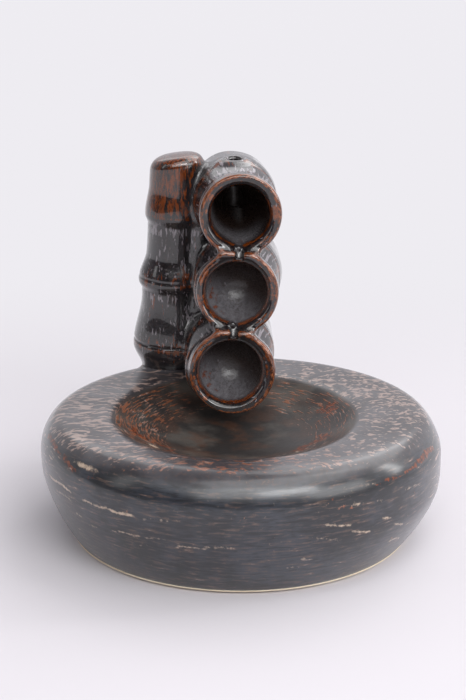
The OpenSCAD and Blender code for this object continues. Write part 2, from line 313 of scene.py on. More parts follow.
def tower_fields(p):
    """The fused surface, and then the fields that divide it."""
    z = p[..., 2]
    stalk = stalk_field(p)
    bodies = [tube.body(p) for tube in TUBES]
    tubes = smooth_min(smooth_min(bodies[0], bodies[1], 3.4), bodies[2], 3.4)
    coil = capsule(p, *COIL)
    fused = smooth_min(smooth_min(stalk, tubes, 2.6), coil, 2.0)
    from_smoke = np.hypot(p[..., 0] - SMOKE[0], p[..., 1] - SMOKE[1])
    pad = smooth_max(from_smoke - SEAT_R, z - SEAT_Z, 2.4)
    fused = smooth_min(fused, np.maximum(pad, PAD_Z - z), 3.0)
    for tube in TUBES:
        fused = smooth_max(fused, -tube.cup(p), 1.7)
    for start, end in SPOUTS:
        fused = smooth_max(fused, -capsule(p, start, end, SPOUT_R), 1.0)
    for centre, size in BEADS:
        fused = smooth_min(fused, np.linalg.norm(p - np.array(centre), axis=-1) - size, 0.7)
    fused = smooth_max(fused, -np.maximum(from_smoke - SMOKE_R, SMOKE_END_Z - z), 0.9)
    wave = np.sin(0.31 * p[..., 0] + 1.3) * np.sin(0.27 * p[..., 1] + 0.6) * np.sin(0.23 * z + 2.1)
    return np.stack([
        fused + 0.25 * wave,
        base_top(p[..., 0], p[..., 1]) - SINK - z,
        np.maximum(stalk - tubes + LUTE, -coil),
        np.maximum(tubes - stalk + LUTE, -coil),
        dot(p - CUT_CENTRE, CUT_NORMAL),
        z - UPPER_JOINT_Z,
        z - LOWER_JOINT_Z,
        np.maximum(from_smoke - SEAT_R - 0.6, SEAT_CUT_Z - z),
        stalk - tubes,
    ])


FUSED, GROUND, IN_STALK, IN_TUBES, CAP_SIDE, UPPER, LOWER, SEAT, STALK_SIDE = range(9)
print("field at the middle of the top cup:",
      round(float(tower_fields(np.array([0.0, 15.0, 90.0]))[FUSED]), 2), "mm outside the clay")

# %% [markdown]
# ## From a field to a mesh
# The tower is measured on a fine grid. Surface nets then puts one point in every grid cell that
# the surface crosses and joins neighbouring cells with four-sided faces. Each point is moved onto
# the exact surface by a few Newton steps, and a point in a cell that a joint crosses too is moved
# onto both at once, so the rims of the pieces are crisp and shared. Marching cubes would do as
# well, but it makes thin triangles that shade badly under gloss.

# %% Surface nets
GRID = 0.45
TOWER_BOX = np.array([[-36.0, 2.0, 26.0], [14.5, 54.5, 106.0]])
CORNERS = np.array([[i, j, k] for i in (0, 1) for j in (0, 1) for k in (0, 1)])
CELL_EDGES = [(a, b) for a in range(8) for b in range(a + 1, 8)
              if abs(CORNERS[a] - CORNERS[b]).sum() == 1]


def cell_corners(values):
    """The values at the eight corners of every cell, as one more axis."""
    nx, ny, nz = values.shape
    return np.stack([values[i:nx - 1 + i, j:ny - 1 + j, k:nz - 1 + k] for i, j, k in CORNERS], -1)


def net_faces(inside, ids):
    """Four-sided faces around every grid edge that goes from inside to outside."""
    faces = []
    for axis in range(3):
        order = (axis, (axis + 1) % 3, (axis + 2) % 3)
        turned_in, turned_id = inside.transpose(order), ids.transpose(order)
        here, there = turned_in[:-1, 1:-1, 1:-1], turned_in[1:, 1:-1, 1:-1]
        i, j, k = np.nonzero(here != there)
        ring = [turned_id[i, j, k], turned_id[i, j + 1, k],
                turned_id[i, j + 1, k + 1], turned_id[i, j, k + 1]]
        face = np.stack(ring, -1)
        out = here[i, j, k]
        faces.append(np.where(out[:, None], face, face[:, ::-1]))
    return np.concatenate(faces)


axes = [np.arange(low, high, GRID) for low, high in TOWER_BOX.T]
grid_points = np.stack(np.meshgrid(*axes, indexing="ij"), -1)
grid_fields = np.stack([tower_fields(layer) for layer in grid_points], 1).astype(np.float32)
print("tower measured at", grid_fields[0].size, "grid points")


# %% Newton steps onto the surface
def slopes(fields, p, step=0.02):
    """How each field changes along X, Y and Z."""
    parts = []
    for axis in range(3):
        d = np.zeros(3)
        d[axis] = step
        parts.append((fields(p + d) - fields(p - d)) / (2 * step))
    return np.stack(parts, -1)


def settle(points, rules, held):
    """Moves each point onto all the surfaces that hold it."""
    def chosen(p):
        every = tower_fields(p)
        return np.stack([sign * every[k] - shift for k, sign, shift in rules])
    for _ in range(4):
        value = np.where(held, chosen(points).T, 0)
        slope = np.where(held[..., None], np.swapaxes(slopes(chosen, points), 0, 1), 0)
        normal = slope @ np.swapaxes(slope, 1, 2) + 1e-3 * np.eye(len(rules))
        step = np.linalg.solve(normal, value[..., None])
        move = (np.swapaxes(slope, 1, 2) @ step)[..., 0]
        length = np.linalg.norm(move, axis=1, keepdims=True)
        points = points - move * np.minimum(1, 0.5 * GRID / np.maximum(length, 1e-9))
    return points


def piece_surface(rules):
    """Points, faces and, for each point, whether it is on the outer surface."""
    rules = [(FUSED, 1, 0.0)] + rules
    parts = np.stack([sign * grid_fields[k] - shift for k, sign, shift in rules])
    value = parts.max(0)
    value[[0, -1]] = value[:, [0, -1]] = value[:, :, [0, -1]] = 1
    i, j, k = np.nonzero(value < 0)
    box = tuple(slice(max(a.min() - 1, 0), a.max() + 2) for a in (i, j, k))
    value, parts = value[box], parts[(slice(None), *box)]
    corner = cell_corners(value)
    count = (corner < 0).sum(-1)
    active = (count > 0) & (count < 8)
    ids = np.full(active.shape, -1)
    ids[active] = np.arange(active.sum())
    corner = corner[active]
    total, crossings = np.zeros((len(corner), 3)), np.zeros(len(corner))
    for a, b in CELL_EDGES:
        crossed = (corner[:, a] < 0) != (corner[:, b] < 0)
        share = np.where(crossed, corner[:, a] / (corner[:, a] - corner[:, b] + 1e-12), 0)
        at = CORNERS[a] + share[:, None] * (CORNERS[b] - CORNERS[a])
        total += at * crossed[:, None]
        crossings += crossed
    start = np.argwhere(active) + total / crossings[:, None]
    origin = TOWER_BOX[0] + GRID * np.array([s.start for s in box])
    corner_parts = np.stack([cell_corners(part)[active] for part in parts])
    in_clay = corner_parts[0] < 0
    held = np.stack([(~in_clay).any(-1)] + [(in_clay & (part >= 0)).any(-1)
                                             for part in corner_parts[1:]], -1)
    points = settle(origin + GRID * start, rules, held)
    return points, net_faces(value < 0, ids), held[:, 0]


print("grid step", GRID, "mm")

# %% [markdown]
# ## What the glaze needs to know about the surface
# A reactive glaze shows the form under it. It runs thin on crests and lips, where the iron breaks
# through as rust, and pools dark in hollows. Painted textures would need an unwrapped mesh, so the
# mesh carries a few measures at each point instead: how sharply the surface curves, how much rust
# and pale fleck the place tends to, where it lies in a cup, and the flow, a stretched place that
# the patterns follow.


# %% Measures on the tower
def curvature(p, reach=0.7):
    """Positive on crests, negative in hollows, in 1/mm."""
    def fused(q):
        return tower_fields(q)[FUSED]
    middle = fused(p)
    total = -6 * middle
    for axis in range(3):
        d = np.zeros(3)
        d[axis] = reach
        total = total + fused(p + d) + fused(p - d)
    return total / reach ** 2


def stalk_measures(p):
    """Flow, rust and pale tendency on the stalk: dashes run up and down between the rings."""
    h, across, back = stalk_place(p)
    flow = np.stack([1.5 * across, 1.5 * back, 0.27 * h], -1)
    rust = 0.14 + 0.42 * ease(h, RINGS_H[2] + 1, RINGS_H[2] + 3)
    pale = 0.38 * np.ones_like(h)
    for k, ring in enumerate(RINGS_H):
        rust = np.maximum(rust, (0.36, 0.34, 0.48)[k] * bump(h, ring + 3.0, 4.5))
        rust = np.maximum(rust, (0.66, 0.45, 0.58)[k] * bump(h, ring + 0.8, 1.2))
        pale = np.maximum(pale, (0.0, 0.75, 1.0)[k] * bump(h, ring - 3.4, 3.2))
    right_face = bump(across, 5.5, 4.5)
    pale = np.maximum(pale, 1.05 * right_face * bump(h, RINGS_H[2] - 9, 6.5))
    pale = np.maximum(pale, 1.0 * right_face * bump(h, RINGS_H[1] - 10, 6.0))
    rust = rust + 0.30 * right_face * bump(h, RINGS_H[1] + 3.5, 6.0) * (h < RINGS_H[2] - 3)
    rust = rust + 0.30 * right_face * bump(h, RINGS_H[1] - 5.0, 3.0)
    pale = pale - 0.9 * ease(h, RINGS_H[2] - 0.4, RINGS_H[2] + 0.6) - 0.45 * (1 - ease(h, 12, 17))
    return flow, rust, pale


def tube_measures(p, tube):
    """On a tube the marks run round it; inside a cup they thin out, and the cup gets painted shade above and
    deep in, and painted light low on the left.
    """
    s, right, up = tube.place(p)
    rho = np.hypot(right, up)
    angle = np.arctan2(right, up)
    flow = np.stack([3.4 * np.sin(angle), 3.4 * np.cos(angle), 1.3 * s + 0.6 * rho], -1)
    lengthwise = np.stack([12 * np.sin(angle), 12 * np.cos(angle), 0.22 * s], -1)
    flow = np.where((s > 8.2)[:, None], lengthwise, flow)
    lip = tube.across_lip(s, right, up)
    inside = ease(-lip, -0.4, 0.6) * ease(s, -1.0, 1.0)
    flow = flow * (1 - inside[..., None]) + inside[..., None] * np.stack([right, up, s], -1) * 0.8
    on_front = 1 - ease(s, 0.8, 2.4)
    rust = on_front * (0.50 * bump(lip, 3.0, 1.3) + 0.28)
    rust = np.maximum(rust, 0.66 * bump(lip, 0.0, 1.1) * (1 - ease(s, 2.2, 4.4)))
    left_low = np.clip(-right * 0.7 / tube.cup_r + 0.4, 0, 1)
    rust = np.maximum(rust, 0.46 * inside * bump(s, 6.0, 6.5) * left_low)
    rust = np.maximum(rust, (0.5 * bump(s, NODE_AT - 1.4, 1.6) + 0.2) * (1 - inside) * (1 - on_front))
    pale = (1 - inside) * (0.35 * ease(s, 2, 6) + 0.75 * bump(s, 14.0, 6.5) * np.clip(up / 10, 0, 1))
    for centre, size in BEADS:
        rust = rust - 1.2 * (np.linalg.norm(p - np.array(centre), axis=-1) < size + 0.5)
    rust = rust - (np.hypot(p[:, 0] - SMOKE[0], p[:, 1] - SMOKE[1]) < SMOKE_R + 1.2)
    # Painted light and shade in the cups: low is the lower left part of a cup, which the shader paints as a
    # lit grey; the upper part, and the deep part of the top cup, stay in painted shade.
    low = 1 - ease(0.75 * up + 0.45 * right, -0.55 * tube.cup_r, 0.30 * tube.cup_r)
    low = low * (1 - ease(s, 0.35 * tube.cup_depth, 0.7 * tube.cup_depth) * (tube.cup_depth > 20))
    return flow, rust, pale, inside * ease(s, 1.0, 5.0), inside * low


print("curvature on a lip:", round(float(curvature(np.array([0.0, 7.6, 100.4]))), 2), "per mm")


# %% [markdown]
# ## From points to a piece
# One function makes every piece, with its measures and its place in the frame, and hides the imported part
# that it replaces. The outer skin takes its normals from the field's own slope, because normals averaged
# over
# the faces would stop at the edge of a piece and draw each clay joint as a line.


# %% Making a mesh piece
def add_measure(mesh, name, values):
    kind = "FLOAT_VECTOR" if values.ndim == 2 else "FLOAT"
    field = "vector" if values.ndim == 2 else "value"
    attribute = mesh.attributes.new(name, kind, "POINT")
    attribute.data.foreach_set(field, values.astype(np.float32).ravel())


def add_piece(name, points, faces, measures, replaced):
    """A mesh object from points in mm, placed in the frame, with the imported parts that it replaces hidden.
    """
    mesh = bpy.data.meshes.new(name)
    mesh.from_pydata(points * MM, [], faces)
    mesh.update()
    mesh.shade_smooth()
    for measure, values in measures.items():
        add_measure(mesh, measure, values)
    piece = bpy.data.objects.new(name, mesh)
    bpy.context.scene.collection.objects.link(piece)
    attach(piece, "root")
    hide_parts(*replaced)
    return piece


def shade_by_field(piece, points, faces, on_outside):
    """Smooth normals from the field itself outside, so that no joint shows; flat ones within."""
    corner = points[faces]
    flat = np.cross(corner[:, 2] - corner[:, 0], corner[:, 3] - corner[:, 1])
    flat = flat / np.maximum(np.linalg.norm(flat, axis=1, keepdims=True), 1e-12)
    slope = slopes(lambda p: tower_fields(p)[FUSED], points)
    smooth = slope / np.maximum(np.linalg.norm(slope, axis=1, keepdims=True), 1e-9)
    outer = on_outside[faces].all(1) & ((smooth[faces].mean(1) * flat).sum(1) > 0.6)
    normals = np.where(outer[:, None, None], smooth[faces], flat[:, None, :])
    piece.data.normals_split_custom_set(normals.reshape(-1, 3))


print("pieces are made in metres, from points in mm times", MM)

# %% [markdown]
# ## Cutting the tower into its pieces
# The rules of each piece say on which side of which joint it lies. The three joints of soft clay,
# called luting, are thin layers of their own along the joints they hold together.

# %% Tower pieces
right_of_joint = (IN_TUBES, 1, 0.0)
left_of_joint = (IN_STALK, 1, 0.0)
on_base = (GROUND, 1, 0.0)

TOWER_PIECES = {
    "bamboo_stalk": [left_of_joint, (CAP_SIDE, 1, 0.0), on_base],
    "stalk_cap": [left_of_joint, (CAP_SIDE, -1, 0.0)],
    "stalk_luting": [(IN_STALK, -1, 0.0), (IN_TUBES, -1, 0.0), on_base],
    "top_tube": [right_of_joint, (UPPER, -1, -LUTE), (SEAT, -1, 0.0)],
    "upper_luting": [right_of_joint, (UPPER, 1, LUTE), (UPPER, -1, LUTE)],
    "middle_tube": [right_of_joint, (UPPER, 1, -LUTE), (LOWER, -1, -LUTE)],
    "lower_luting": [right_of_joint, (LOWER, 1, LUTE), (LOWER, -1, LUTE)],
    "bottom_tube": [right_of_joint, (LOWER, 1, -LUTE), on_base],
    "cone_seat": [right_of_joint, (SEAT, 1, 0.0)],
}


def tower_measures(p):
    """Every measure of the glaze, from the stalk or the nearest tube."""
    beside_stalk = tower_fields(p)[STALK_SIDE] > 0
    nearest = np.argmin([tube.body(p) for tube in TUBES], 0)
    values = [*stalk_measures(p), np.zeros(len(p)), np.zeros(len(p))]
    for k, tube in enumerate(TUBES):
        mine = beside_stalk & (nearest == k)
        for value, tube_value in zip(values, tube_measures(p, tube)):
            value[mine] = tube_value[mine]
    return dict(zip(("flow", "rust", "pale", "cup", "low"), values), edge=curvature(p))


tower = {}
for name, rules in TOWER_PIECES.items():
    points, faces, on_outside = piece_surface(rules)
    tower[name] = add_piece(name + "_glazed", points, faces, tower_measures(points), [name])
    shade_by_field(tower[name], points, faces, on_outside)
    print(name, len(faces), "faces")

# %% [markdown]
# ## The base
# The base was thrown on a wheel, so it is a loft of rings: out from the middle of the pool, over
# the shoulder, down the side to the foot, and back through the hollow inside. The rings of the
# pool share the pool's own centre. A thrown pot is never quite round, so the outer rings carry a
# few soft swellings, held within the widest radius. Where the tower stands, the glaze has run into
# a small fillet against it.


# %% Base
def side_radius(a):
    return BASE_R - TUCK_W * (1 - np.sin(a)) ** 1.15


def side_height(a):
    return WAIST_H * (0.45 * (1 - np.cos(a)) + 0.55 * np.sin(a))


def base_rings():
    """[radius, height, share of the pool's oval, share of the unevenness] for each ring."""
    rings = []
    for u in np.linspace(0.02, POOL_REACH, 60):
        rings.append([POOL_R[1] * u, BASE_H - float(pool_drop(u)), 1, 0])
    flat_r, rim_r = BASE_R - 1.5 * SHOULDER_W, POOL_R[1] * POOL_REACH
    for t in np.linspace(0, 1, 14)[1:]:
        rings.append([rim_r + (flat_r - rim_r) * t, BASE_H, 1 - t, t])
    over_edge = np.sin(np.radians(np.linspace(30, 90, 20)[1:]))
    shares = np.concatenate([np.linspace(-0.5, 0.5, 14)[1:], over_edge])
    for share in shares:
        rings.append([BASE_R - SHOULDER_W * (1 - share), float(shoulder(share)), 0, 1])
    foot_a = 0.075
    for a in np.linspace(math.pi / 2, foot_a, 52)[1:]:
        rings.append([side_radius(a), max(side_height(a), FOOT_H), 0, 1])
    return rings


def uneven(angle, height):
    """How far the thrown wall stands out from a true circle, in mm."""
    low_right = 0.95 * np.cos(np.clip(angle + 0.55, -1.4, 1.4) * math.pi / 2.8) ** 2
    low_right = low_right * bump(height, 15, 17)
    high_right = -0.55 * np.cos(np.clip(angle - 0.25, -1.2, 1.2) * math.pi / 2.4) ** 2
    high_right = high_right * bump(height, 31, 9)
    low_left = -0.5 * np.cos(np.clip(angle + 2.4, -0.9, 0.9) * math.pi / 1.8) ** 2
    low_left = low_left * bump(height, 14, 14)
    return low_right + high_right + low_left + 0.12 * np.sin(3 * angle + 0.11 * height)


SEGMENTS = 480
FILLET = 1.5            # the glaze creeps up within this distance of the tower
CREEP_Z = 27            # and only above this height
WALL = 4.5
rings = base_rings()
outer_count = len(rings)
cavity_r, floor_r = BASE_R - WALL, BASE_R - TUCK_W - 4.0
under_pool = BASE_H - POOL_DEPTH - WALL
for r, z in ((floor_r + 1.5, FOOT_H), (floor_r, FOOT_H), (floor_r, 6.5), (cavity_r - 4, 12.2),
             (cavity_r, 20.5), (cavity_r, 26.5), (BASE_R - SHOULDER_W, BASE_H - WALL),
             (POOL_R[1] + 6, BASE_H - WALL), (POOL_R[1] + 3, under_pool + 3),
             (POOL_R[1] - 1, under_pool), (POOL_R[1] / 2, under_pool), (2.0, under_pool)):
    rings.append([r, z, 0, 0])
rings = np.array(rings)
angle = np.linspace(0, 2 * math.pi, SEGMENTS, endpoint=False)
radius, height, oval, swell = (rings[:, k][:, None] for k in range(4))
signed = np.angle(np.exp(1j * angle))[None]
ring_r = smooth_min(radius + swell * uneven(signed, height), BASE_R, 0.6)
x = ring_r * np.cos(angle) * (1 - oval * (1 - POOL_R[0] / POOL_R[1])) + oval * POOL[0]
y = ring_r * np.sin(angle) + oval * POOL[1]
z = np.broadcast_to(height, x.shape).copy()
base_points = np.stack([x, y, z], -1)
tower_near = tower_fields(base_points[:outer_count])[FUSED]
creep = 0.8 * np.clip(1 - np.abs(tower_near) / FILLET, 0, 1) ** 2
base_points[:outer_count, :, 2] += creep * (base_points[:outer_count, :, 2] > CREEP_Z)


def ring_faces(count, segments):
    """Four-sided faces between neighbouring rings."""
    i, j = np.meshgrid(np.arange(count - 1), np.arange(segments), indexing="ij")
    j2 = (j + 1) % segments
    return np.stack([i * segments + j, (i + 1) * segments + j,
                     (i + 1) * segments + j2, i * segments + j2], -1).reshape(-1, 4)


def closed_loft(points):
    """Points and faces of a loft whose two ends are closed with a fan."""
    count, segments = points.shape[:2]
    ends = [points[0].mean(0), points[-1].mean(0)]
    flat = np.concatenate([points.reshape(-1, 3), ends])
    first, last = count * segments, count * segments + 1
    faces = ring_faces(count, segments).tolist()
    row = (count - 1) * segments
    for j in range(segments):
        faces.append([first, j, (j + 1) % segments])
        faces.append([last, row + (j + 1) % segments, row + j])
    return flat, faces


base_points, base_faces = closed_loft(base_points)
print("base:", len(base_faces), "faces, widest", round(float(ring_r.max()) * 2, 1), "mm")

# %% [markdown]
# ## Marks with a place of their own
# Noise gives even flecks but never one long mark, so the pale runs on the side and two broken
# lines of rust on the shoulder are placed one by one, each between two places on the side. A slow
# wave and the noise in the glaze keep them from looking drawn.


# %% Marks on the side
def facing(turn, towards, spread):
    """1 where the angle round the base is at a value, and 0 beyond a spread."""
    off = np.angle(np.exp(1j * (turn - towards)))
    return np.cos(np.clip(off / spread, -1, 1) * math.pi / 2) ** 2


# Turn and height of both ends, and strength.
RUNS = [
    (-2.41, 22.6, -2.23, 23.3, 1.0), (-2.23, 23.3, -2.08, 22.6, 1.0), (-2.04, 22.6, -1.90, 23.2, 0.5),
    (-2.25, 16.3, -2.05, 17.4, 0.8), (-2.05, 17.4, -1.92, 17.2, 0.5), (-2.75, 23.9, -2.48, 23.8, 1.0),
    (-2.63, 21.2, -2.49, 20.9, 0.7), (-2.39, 15.5, -2.31, 16.2, 0.7), (-1.89, 15.5, -1.71, 16.8, 0.7),
    (-1.71, 16.8, -1.59, 16.4, 0.5), (-2.50, 17.0, -2.43, 17.1, 0.6), (-2.11, 14.0, -2.02, 14.5, 0.5),
    (-1.20, 21.5, -1.04, 20.6, 0.8), (-1.05, 18.1, -0.93, 17.2, 0.9), (-0.88, 19.5, -0.80, 18.9, 0.8),
    (-0.79, 16.5, -0.70, 15.3, 0.8), (-1.05, 25.6, -0.99, 25.4, 0.8), (-1.22, 17.9, -1.11, 17.0, 0.5),
    (-0.78, 11.0, -0.66, 9.7, 0.7), (-1.37, 9.6, -1.27, 9.1, 0.5), (-1.30, 12.5, -1.22, 11.6, 0.6),
    (-0.72, 25.6, -0.55, 24.1, 0.6), (-0.99, 30.1, -0.89, 29.6, 0.6), (-0.91, 25.4, -0.87, 25.0, 0.7),
]
RUST_LINES = [
    (-2.92, 32.6, -2.62, 31.5, 0.9), (-2.62, 31.5, -2.45, 29.7, 1.0), (-2.40, 29.6, -2.30, 30.1, 0.8),
    (-0.93, 29.4, -0.64, 29.7, 1.0), (-0.66, 29.7, -0.55, 30.9, 0.9), (-0.57, 30.7, -0.32, 30.6, 0.9),
]


def on_marks(marks, turn, z, width):
    """How strongly a place on the side lies on one of the marks."""
    share = np.zeros_like(z)
    for turn_a, z_a, turn_b, z_b, strength in marks:
        t = (turn - turn_a) / (turn_b - turn_a)
        wave = 0.3 * np.sin(31 * turn + 5 * z_a)
        off = z - (z_a + (z_b - z_a) * t) - wave
        ends = ease(t, -0.06, 0.12) * (1 - ease(t, 0.88, 1.06))
        share = np.maximum(share, strength * ends * np.exp(-(off / width) ** 2))
    return share


print(len(RUNS), "pale runs and", len(RUST_LINES), "stretches of rust")

# %% [markdown]
# ## Where the base shows rust and flecks
# The glaze behaves differently on the top, on the side and in the pool, so each region gets a flow
# of its own, and the shader mixes the three finished patterns. Mixing the places themselves would
# swirl the flecks where two regions meet. On the top the flecks are short dashes that lie
# left to right, on the side they are long thin lines round the pot, and in the pool they are fine
# dashes round its wall. They turn from cream to rust at the front and in the pool.


# %% Measures on the base
def base_measures(p):
    px, py, pz = p.T
    turn = np.arctan2(py, px)
    u = pool_share(px, py)
    pool_turn = np.arctan2(py - POOL[1], px - POOL[0])
    in_pool = (1 - ease(u, 0.965, 1.0)) * (pz > 24)
    on_side = (1 - ease(pz, 31.5, 34.3)) * (1 - in_pool)
    crowding = 0.31 * px + 0.0012 * px * px     # the dashes get shorter to the right
    wavy = 0.9 * np.sin(0.23 * px + 0.11 * py) + 0.5 * np.sin(0.41 * px - 0.23 * py)
    top_flow = np.stack([crowding, 0.56 * (py + wavy), 0.35 * pz], -1)
    side_flow = np.stack([11 * np.cos(turn), 11 * np.sin(turn), 1.4 * pz], -1)
    down = 34 * u + 1.3 * pz
    pool_flow = np.stack([8 * np.cos(pool_turn), 8 * np.sin(pool_turn), 1.4 * down], -1)
    rust = 0.75 * on_marks(RUST_LINES, turn, pz, 0.7)
    wall = in_pool * ease(u, 0.30, 0.70)
    rust = rust + 0.34 * wall * facing(pool_turn, 0.35, 1.0) * bump(u, 0.80, 0.30)
    front, back = facing(turn, -1.62, 1.0), facing(turn, 1.45, 1.15)
    pool_left, pool_front = facing(pool_turn, 3.3, 1.25), facing(pool_turn, -1.5, 1.5)
    edge_front = facing(turn, -1.5, 1.5) * (1 - ease(pz, 34.2, 35.86)) * (1 - in_pool)
    pale = (1 - in_pool) * (1 - on_side) * (1.0 - 0.35 * front - 0.8 * back - 2.2 * edge_front
                                           - 0.5 * facing(turn, -0.6, 0.8))
    pale = pale + on_side * (1.2 * facing(turn, -3.0, 0.8) + 1.7 * facing(turn, 0.1, 0.95) - 1.1)
    pale = pale + wall * (0.15 + 0.95 * pool_left + 0.45 * pool_front)
    warm = front * (1 - in_pool) * (1 - on_side) + wall * (1 - 0.6 * facing(pool_turn, -0.8, 0.6))
    spot = np.exp(-((turn + 2.42) / 0.085) ** 2 - ((pz - 31.7) / 0.6) ** 2)
    run = np.maximum(0.85 * on_marks(RUNS, turn, pz, 0.38), spot)
    return {"flow": top_flow, "side_flow": side_flow, "pool_flow": pool_flow, "rust": rust,
            "pale": pale, "warm": warm, "pool": in_pool, "wall": wall, "side": on_side, "run": run}


base = add_piece("base_shell_glazed", base_points, base_faces, base_measures(base_points),
                 ["base_shell"])
print("base shell has", len(base.data.attributes), "attributes")

# %% [markdown]
# ## Foot ring and floor
# The narrow foot ring and the disc that closes the hollow base were turned on the wheel. Each is a
# closed outline spun round the axis. A Screw modifier would do the same, but the ready mesh is
# simpler to check.


# %% Foot ring and floor
def lathe(name, outline, replaced, segments=240):
    """A turned piece from a closed outline of [radius, height] points."""
    around = np.linspace(0, 2 * math.pi, segments, endpoint=False)
    outline = np.array(outline)
    rr, zz = outline[:, 0][:, None], outline[:, 1][:, None]
    pts = np.stack([rr * np.cos(around), rr * np.sin(around), zz + 0 * around], -1)
    flat = pts.reshape(-1, 3)
    faces = ring_faces(len(outline) + 1, segments) % len(flat)
    piece = add_piece(name, flat, faces, {"flow": flat}, replaced)
    piece.data.set_sharp_from_angle(angle=math.radians(35))
    return piece


foot_out = float(side_radius(0.0)) + 0.15
foot = lathe("foot_ring_clay", [
    (floor_r + 0.3, 0), (floor_r, 0.3), (floor_r, FOOT_H), (foot_out + 0.75, FOOT_H),
    (foot_out + 0.85, 1.0), (foot_out + 0.65, 0.72), (foot_out - 1.1, 0.6), (foot_out - 1.4, 0)],
    ["foot_ring"])
floor_low, floor_high = (v.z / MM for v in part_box("base_floor"))
vent = 2.2
under = [(r, floor_low + 0.12 * math.sin(r * 1.7)) for r in np.linspace(vent + 0.6, floor_r - 0.4, 60)]
floor_outline = ([(floor_r, floor_low + 0.3), (floor_r, floor_high), (vent, floor_high),
                  (vent, floor_low + 0.5)] + under)
clay_floor = lathe("base_floor_clay", floor_outline, ["base_floor"])
print("foot ring and floor made")

# %% [markdown]
# ## Writing shader maths as sums
# A finish is a sum of patterns. Wiring each Math node by hand hides that sum, so a small class
# wraps a socket and lets Python's own operators add the nodes.


# %% Shader kit
class Varying:
    """A value that changes over the surface. Sums with it become Math nodes."""

    def __init__(self, finish, socket):
        self.finish, self.socket = finish, socket

    def _math(self, operation, *inputs):
        return self.finish.node("ShaderNodeMath", {"operation": operation}, dict(enumerate(inputs)))

    def __add__(self, other):
        return self._math("ADD", self, other)

    def __sub__(self, other):
        return self._math("SUBTRACT", self, other)

    def __rsub__(self, other):
        return self._math("SUBTRACT", other, self)

    def __mul__(self, other):
        return self._math("MULTIPLY", self, other)

    __radd__, __rmul__ = __add__, __mul__


def srgb(red, green, blue):
    """A colour as a painter names it, from 0 to 255, in the linear values that shaders use."""
    def linear(v):
        v = v / 255
        return v / 12.92 if v < 0.04045 else ((v + 0.055) / 1.055) ** 2.4
    return (linear(red), linear(green), linear(blue), 1)


class Finish:
    """The nodes of a material, or of the world if one is given."""

    def __init__(self, name, world=None):
        self.material = world or bpy.data.materials.new(name)
        self.material.use_nodes = True
        self.tree = self.material.node_tree
        self.shader = self.tree.nodes["Background" if world else "Principled BSDF"]

    def node(self, kind, settings=None, inputs=None, output=0):
        made = self.tree.nodes.new(kind)
        for key, value in (settings or {}).items():
            setattr(made, key, value)
        for key, value in (inputs or {}).items():
            if isinstance(value, Varying):
                self.tree.links.new(value.socket, made.inputs[key])
            else:
                made.inputs[key].default_value = value
        return Varying(self, made.outputs[output])

    def measure(self, name, vector=False):
        return self.node("ShaderNodeAttribute", {"attribute_name": name}, output=1 if vector else 2)

    def noise(self, place, scale, detail=3.0, roughness=0.55, distortion=0.0, output=0):
        return self.node("ShaderNodeTexNoise", {}, {
            "Vector": place, "Scale": scale, "Detail": detail, "Roughness": roughness,
            "Distortion": distortion}, output)

    def step(self, value, low, high):
        """Smooth step from 0 at low to 1 at high."""
        return self.node("ShaderNodeMapRange", {"interpolation_type": "SMOOTHSTEP"},
                         {"Value": value, "From Min": low, "From Max": high})

    def blend(self, factor, first, second):
        """Two colours mixed by a factor."""
        return self.node("ShaderNodeMix", {"data_type": "RGBA"}, {0: factor, 6: first, 7: second}, 2)

    def bump(self, relief, strength, distance):
        """A Bump node's normal, for a relief with this height in mm."""
        return self.node("ShaderNodeBump", {}, {
            "Strength": strength, "Distance": distance * MM, "Height": relief})

    def feed(self, **values):
        """Values or links for the shader's own sockets, written with _ for a space."""
        for key, value in values.items():
            socket = self.shader.inputs[key.replace("_", " ")]
            if isinstance(value, Varying):
                self.tree.links.new(value.socket, socket)
            else:
                socket.default_value = value


print("white is", srgb(255, 255, 255)[:3])
